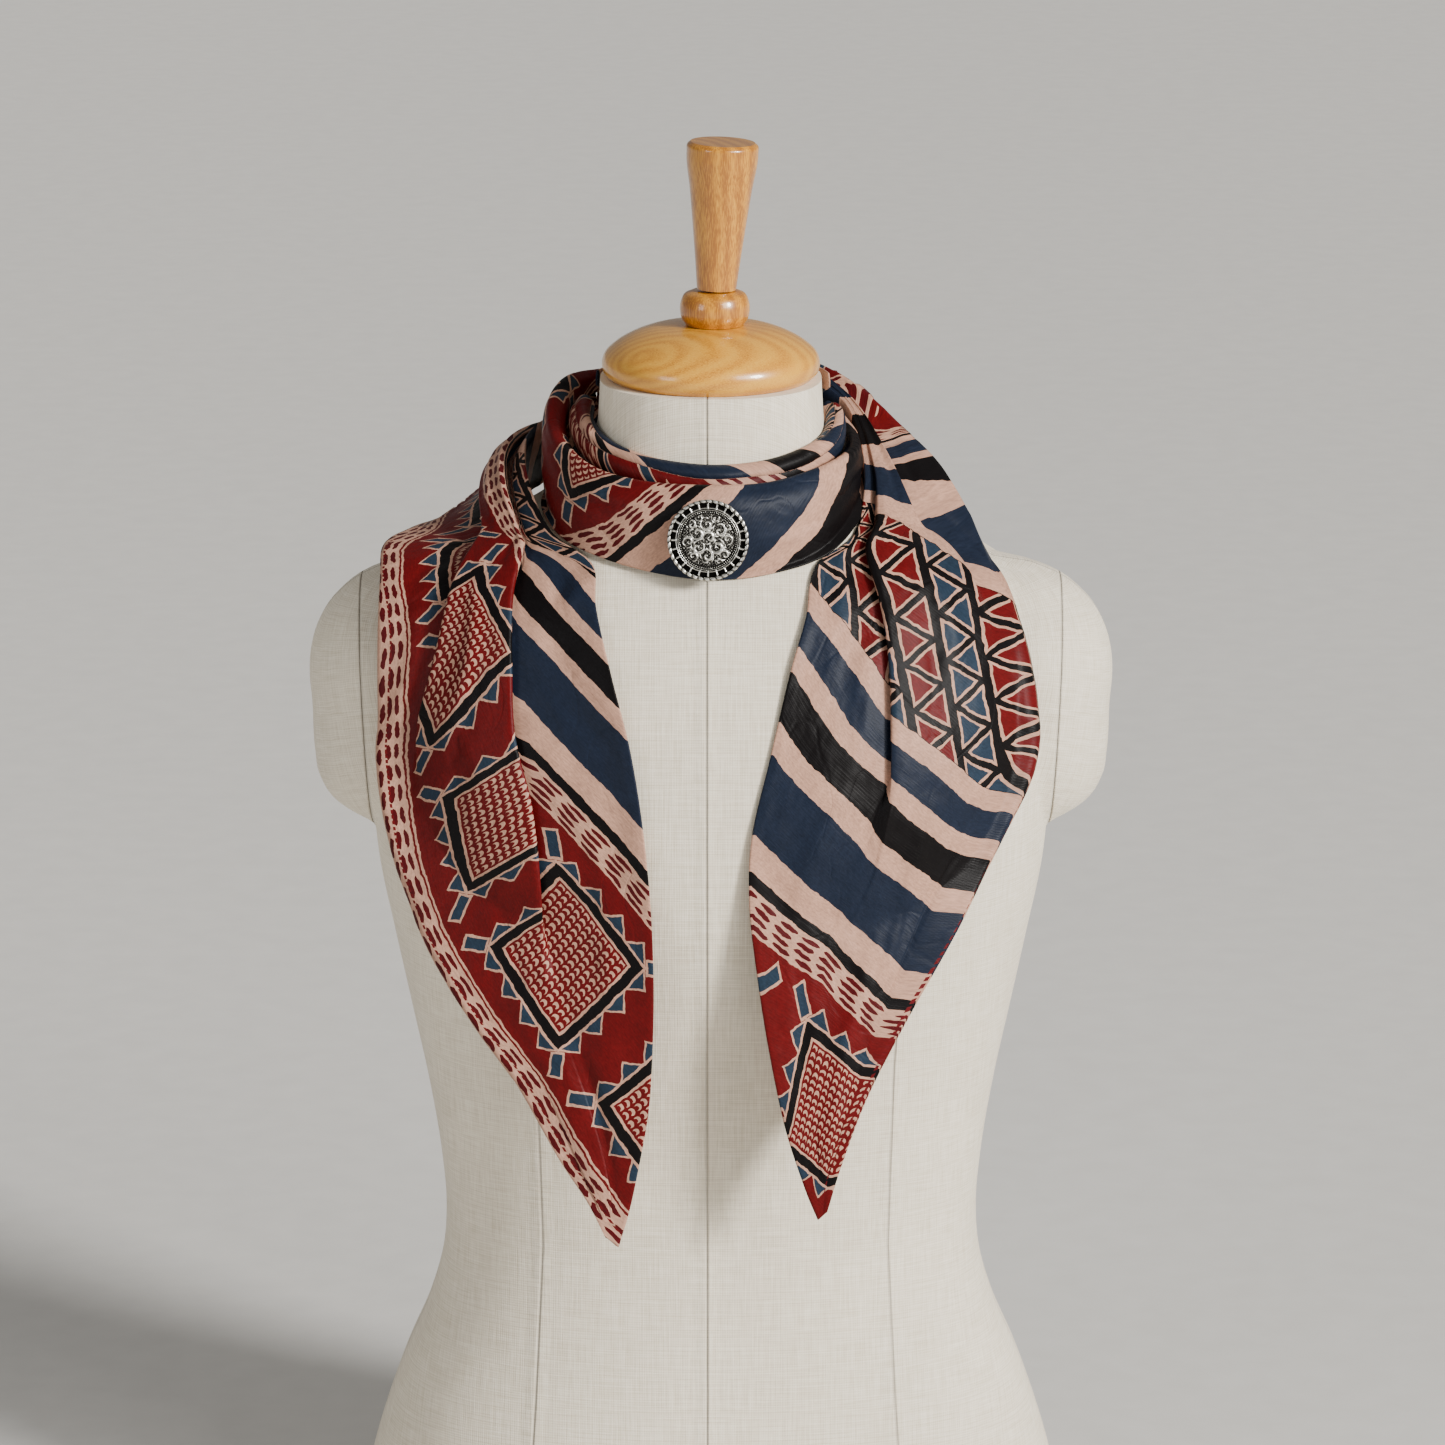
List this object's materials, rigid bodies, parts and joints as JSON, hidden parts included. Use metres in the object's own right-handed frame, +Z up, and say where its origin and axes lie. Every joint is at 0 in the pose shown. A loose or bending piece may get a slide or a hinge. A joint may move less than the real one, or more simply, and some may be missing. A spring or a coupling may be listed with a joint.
{
  "type": "scarf with brooch on a limbless dress form",
  "caption": "Printed square scarf folded to a triangle and wound round the neck of a linen dress form with a turned wooden finial; pleated ends hang in front, a round brooch sits on the collar.",
  "frame": {"origin": "middle of the dress form's flat base, on the surface it stands on", "axes": "+Z up, the form's front and the brooch face -Y, +X is at the right in the front view"},
  "size_m": [0.4, 0.2587, 0.7436],
  "materials": {
    "linen": "plain woven unbleached linen, matt",
    "wood": "turned pale wood, glossy clear varnish",
    "printed_cloth": "block-printed satin weave with a soft sheen, madder red, navy, black and cream",
    "silver": "cast silver with dark oxidised hollows, satin"
  },
  "bodies": {
    "root": {"form_torso": "linen", "form_arm_cap_left": "linen", "form_arm_cap_right": "linen", "form_neck_cap": "wood", "finial_bead": "wood", "finial_handle": "wood", "scarf_collar_front": "printed_cloth", "scarf_collar_inner": "printed_cloth", "scarf_collar_back": "printed_cloth", "scarf_tail_left": "printed_cloth", "scarf_tail_right": "printed_cloth", "brooch_plate": "silver", "brooch_rim": "silver", "brooch_gallery": "silver", "brooch_medallion": "silver", "brooch_pin": "silver"}
  },
  "joints": []
}
